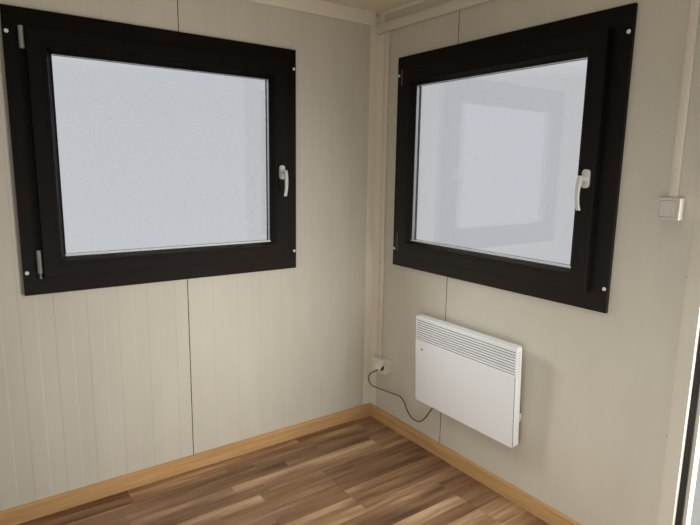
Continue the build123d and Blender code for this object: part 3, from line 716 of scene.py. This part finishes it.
def on_heater(x, y, z):
    """Place on the leaning heater: x from the corner, y up from its middle, z out from the wall."""
    return on_right(x, heater_middle + y * math.cos(heater_lean) - z * math.sin(heater_lean),
                    y * math.sin(heater_lean) + z * math.cos(heater_lean))


heater_up = (on_heater(0, 1, 0) - on_heater(0, 0, 0)).normalized()
heater_out = (on_heater(0, 0, 1) - on_heater(0, 0, 0)).normalized()
powder = Finish("heater_powder_coat", roughness=0.38)


def heater_reach(direction):
    """How far a place on the heater lies along a direction, from its middle at the wall."""
    sideways = powder.math("SUBTRACT", powder.axis("X"), corner.x)
    up = powder.math("SUBTRACT", powder.axis("Z"), corner.z + heater_middle)
    return powder.math("ADD", powder.math("MULTIPLY", sideways, direction.x),
                       powder.math("MULTIPLY", up, direction.z))


# Painted shade: the insides of the louvre slots, behind the front, are coloured dark grey.
slot_shade = powder.math("LESS_THAN", heater_reach(heater_up), slot_highest)
for limit in (
        powder.math("LESS_THAN", heater_reach(heater_out), heater_face - shade_start),
        powder.math("GREATER_THAN", heater_reach(heater_out), heater_face - slot_depth),
        powder.math("GREATER_THAN", powder.axis("Y"), heater_low.y + slot_margin),
        powder.math("LESS_THAN", powder.axis("Y"), heater_high.y - slot_margin)):
    slot_shade = powder.math("MULTIPLY", slot_shade, limit)
powder.colour(powder.blend(slot_shade, tint(236, 235, 234), tint(72, 78, 84)))
powder.bump(powder.noise(1800, detail=2), 0.00004)
knob_finish = mottled("knob_plastic", 40, (222, 212, 198), (229, 220, 207), roughness=0.4)
dress(nodes["heater_brackets"], powder)
for name, radius, finish, slot in (
        ("heater_casing", 0.0012, powder, "heater_paint"),
        ("heater_front", 0.0006, powder, "heater_paint"),
        ("heater_control", 0.003, knob_finish, "grey_plastic"),
        ("heater_knob", 0.0008, knob_finish, "grey_plastic")):
    softened(name, radius, finish, slot)

# Small things on the heater: a lamp in the front plate, a fine open joint beside the plate's right
# edge, drawn as a thin dark strip of painted shade, and two columns of round vent holes in the
# casing's right end, drawn as thin discs of painted shade.
lamp_along = 0.533
lamp_up = 0.059
ring_size = 0.014
ring_thickness = 0.001
lens_size = 0.012
lens_thickness = 0.0008
lamp_place = on_heater(lamp_along, lamp_up, heater_face + plate_thickness)
lamp_ring = mottled("lamp_ring", 300, (176, 172, 166), (188, 184, 178), roughness=0.3)
lamp_lens = mottled("lamp_lens", 300, (158, 156, 152), (172, 170, 166), roughness=0.25)
disc("heater_lamp_ring", lamp_place, heater_out, ring_size, ring_thickness, lamp_ring, "grey_plastic")
disc("heater_lamp_lens", lamp_place + heater_out * ring_thickness, heater_out,
     lens_size, lens_thickness, lamp_lens, "grey_plastic")

casing_height = 0.461
louvre_height = 0.128
plate_fold = 0.005
joint_width = 0.0018
joint_thickness = 0.0004
joint_margin = 0.012
joint_length = casing_height - louvre_height - joint_margin
# Painted shade: the joint is a thin dark strip laid on the face beside the plate.
bpy.ops.object.select_all(action="DESELECT")
bpy.ops.mesh.primitive_cube_add(
    size=1, location=on_heater(heater_end - plate_fold + joint_width / 2, -louvre_height / 2,
                               heater_face + joint_thickness / 2),
    rotation=(0, -heater_lean, 0))
joint = bpy.context.object
joint.name = "heater_plate_joint_shade"
joint.scale = (joint_thickness, joint_width, joint_length)
bpy.ops.object.transform_apply(location=True, rotation=True, scale=True)
dress(joint, mottled("open_joint_shade", 300, (52, 48, 44), (66, 61, 56), roughness=0.8), "heater_paint")

vent_size = 0.0045
vent_thickness = 0.0003
vent_rows = 10
vent_pitch = 0.012
vent_top = 0.205
vent_columns = (0.066, 0.077)
# Painted shade: each vent hole is a thin disc coloured darker than the casing.
vent_shade_finish = mottled("vent_shadow", 300, (150, 142, 132), (164, 156, 146), roughness=0.8)
vents = []
for row in range(vent_rows):
    for column in vent_columns:
        place = on_heater(heater_end, vent_top - row * vent_pitch, column)
        vents.append(disc("vent", place, (0, -1, 0), vent_size, vent_thickness, vent_shade_finish,
                          "heater_paint", 12))
joined("heater_vents", vents)

# Heater's lead: 7 mm round grey-brown flex with a moulded black angled plug in the socket by the
# corner. It leaves the plug towards the corner, makes a loose loop, runs along the wall in a
# sagging bow and rises into a black tapered gland under the heater.
cord_size = 0.007
cord_first_run = 0.020
cord_roundness = 5
cord_steps_a_point = 16
plug_rounding = 0.002
gland_rounding = 0.0008
plug_neck_turn = math.radians(219)
cord_exit = on_right(0.1340, 0.3381, 0.0571)
gland_foot = on_right(0.5875, 0.2783, 0.0482)
above_gland = on_right(0.5749, 0.2603, 0.0474)
cord_steps = [
    (-0.035, -0.022, 0.007),
    (-0.055, -0.039, 0.013),
    (-0.063, -0.066, 0.017),
    (-0.049, -0.091, 0.017),
    (-0.022, -0.104, 0.013),
    (0.011, -0.101, 0.009),
    (0.055, -0.099, 0.006),
    (0.103, -0.096, 0.003),
    (0.155, -0.092, 0.000),
    (0.201, -0.087, -0.002),
    (0.233, -0.104, -0.004),
    (0.257, -0.147, -0.006),
    (0.289, -0.177, -0.007),
    (0.331, -0.187, -0.008),
    (0.369, -0.172, -0.010),
    (0.401, -0.138, -0.012),
    (0.420, -0.106, -0.012),
]


def from_plug(x, y, z):
    """Place measured from where the flex leaves the plug's neck, along the right wall."""
    return cord_exit + on_right(x, y, z) - corner


cord_route = [gland_foot, above_gland]
cord_route += [from_plug(*step) for step in reversed(cord_steps)]
cord_route.append(from_plug(cord_first_run * math.cos(plug_neck_turn),
                            cord_first_run * math.sin(plug_neck_turn), 0))
cord_route.append(cord_exit)

cord_curve = bpy.data.curves.new("heater_flex", "CURVE")
cord_curve.dimensions = "3D"
cord_curve.bevel_depth = cord_size / 2
cord_curve.bevel_resolution = cord_roundness
cord_curve.resolution_u = cord_steps_a_point
spline = cord_curve.splines.new("NURBS")
spline.points.add(len(cord_route) - 1)
for point, place in zip(spline.points, cord_route):
    point.co = (*place, 1)
spline.order_u = 3
spline.use_endpoint_u = True
flex = bpy.data.objects.new("heater_flex", cord_curve)
bpy.context.scene.collection.objects.link(flex)
dress(flex, mottled("flex_sheath", 180, (88, 76, 58), (104, 92, 72), roughness=0.42), "cord")
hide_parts("heater_cord")

plug_finish = mottled("plug_plastic", 120, (34, 28, 24), (46, 39, 33), roughness=0.38)
plug_finish.bump(plug_finish.noise(1500, detail=2), 0.00003)
plug = softened("heater_plug", plug_rounding, plug_finish, "cord")
gland = softened("heater_gland", gland_rounding, plug_finish, "cord")

# Stage: a plain pale floor under the bay, far wider than it, matt and without any pattern but a
# faint unevenness. It isn't part of the object.
stage_size = 13
bpy.ops.mesh.primitive_plane_add(size=stage_size, location=(0, 0, 0))
ground = bpy.context.object
ground.name = "studio_floor"
dress(ground, mottled("studio_floor", 0.5, (218, 218, 216), (224, 224, 222), roughness=0.8))

# Lights: soft daylight comes as through the doorway beyond the post, with a low beam onto the left
# wall, soft light from the open side and from above, some as from the left window past the heater,
# and one light for the outside of the cabin.


def area_light(name, place, target, size, spread, power, colour):
    """Soft rectangular light turned to a target; its spread is in degrees."""
    bpy.ops.object.light_add(type="AREA", location=corner + Vector(place))
    light = bpy.context.object
    light.name = name
    light.rotation_euler = (Vector(target) - Vector(place)).to_track_quat("-Z", "Y").to_euler()
    light.data.shape = "RECTANGLE"
    light.data.size, light.data.size_y = size
    light.data.spread = math.radians(spread)
    light.data.energy = power
    light.data.color = colour
    light.visible_camera = False
    light.visible_glossy = False
    light.visible_transmission = False


area_light("door_light", (0.10, -2.25, 1.0), (-1.0, -2.05, 0.8), (1.0, 1.9), 180, 35, (1.0, 0.93, 0.84))
area_light("beam_light", (0.1, -2.3, 0.9), (-0.8, 0, 0.6), (0.9, 0.9), 75, 6.8, (0.88, 0.95, 1.0))
area_light("room_light", (-2.5, -2.3, 0.8), (0, -1.1, 0.5), (1.2, 1.2), 90, 5.7, (0.98, 1.0, 0.96))
area_light("ceiling_light", (-1.0, -1.5, 2.25), (-1.0, -1.5, 0), (0.9, 0.9), 110, 2.4, (0.95, 1.0, 0.98))
area_light("window_light", (-0.72, -0.12, 1.2), (0, -1.3, 0.35), (0.35, 0.4), 66, 1.2, (0.92, 0.97, 1.0))
area_light("outside_light", (2.6, 2.2, 4.2), (0, 0, 0.9), (2.0, 2.0), 180, 220, (1.0, 0.98, 0.95))

# Background: what is seen directly or through the glass is a pale grey that brightens upwards. For
# all else it is a weak white light, and a mirror shows it dark above and bright below.
backdrop_low = (0.59, 0.615, 0.655, 1)
backdrop_high = (1.8, 1.8, 1.8, 1)
backdrop_rise = (0.15, 0.5)
mirrored_above = (0.1, 0.1, 0.1, 1)
mirrored_below = (2.6, 2.5, 2.4, 1)
mirrored_fall = (0.12, -0.12)
weak_white = (1.0, 1.0, 1.0, 1)
weak_strength = 0.2

world = bpy.data.worlds.new("studio")
bpy.context.scene.world = world
world.use_nodes = True
sky = Shading(world.node_tree)
upward = sky.node("SeparateXYZ", {0: sky.node("TexCoord").outputs["Generated"]}).outputs["Z"]
rays = sky.node("LightPath").outputs
seen = sky.math("MAXIMUM", rays["Is Camera Ray"], rays["Is Transmission Ray"])
backdrop = sky.node("Background", {
    "Color": sky.blend(sky.span(upward, *backdrop_rise), backdrop_low, backdrop_high)})
mirrored = sky.blend(sky.span(upward, *mirrored_fall), mirrored_above, mirrored_below)
unseen = world.node_tree.nodes["Background"]
sky.feed(unseen.inputs["Color"], sky.blend(rays["Is Glossy Ray"], weak_white, mirrored))
sky.feed(unseen.inputs["Strength"], weak_strength)
shown = sky.node("MixShader", {0: seen, 1: unseen.outputs[0], 2: backdrop.outputs[0]})
sky.feed(world.node_tree.nodes["World Output"].inputs["Surface"], shown.outputs[0])
bpy.context.scene.view_settings.view_transform = "Standard"
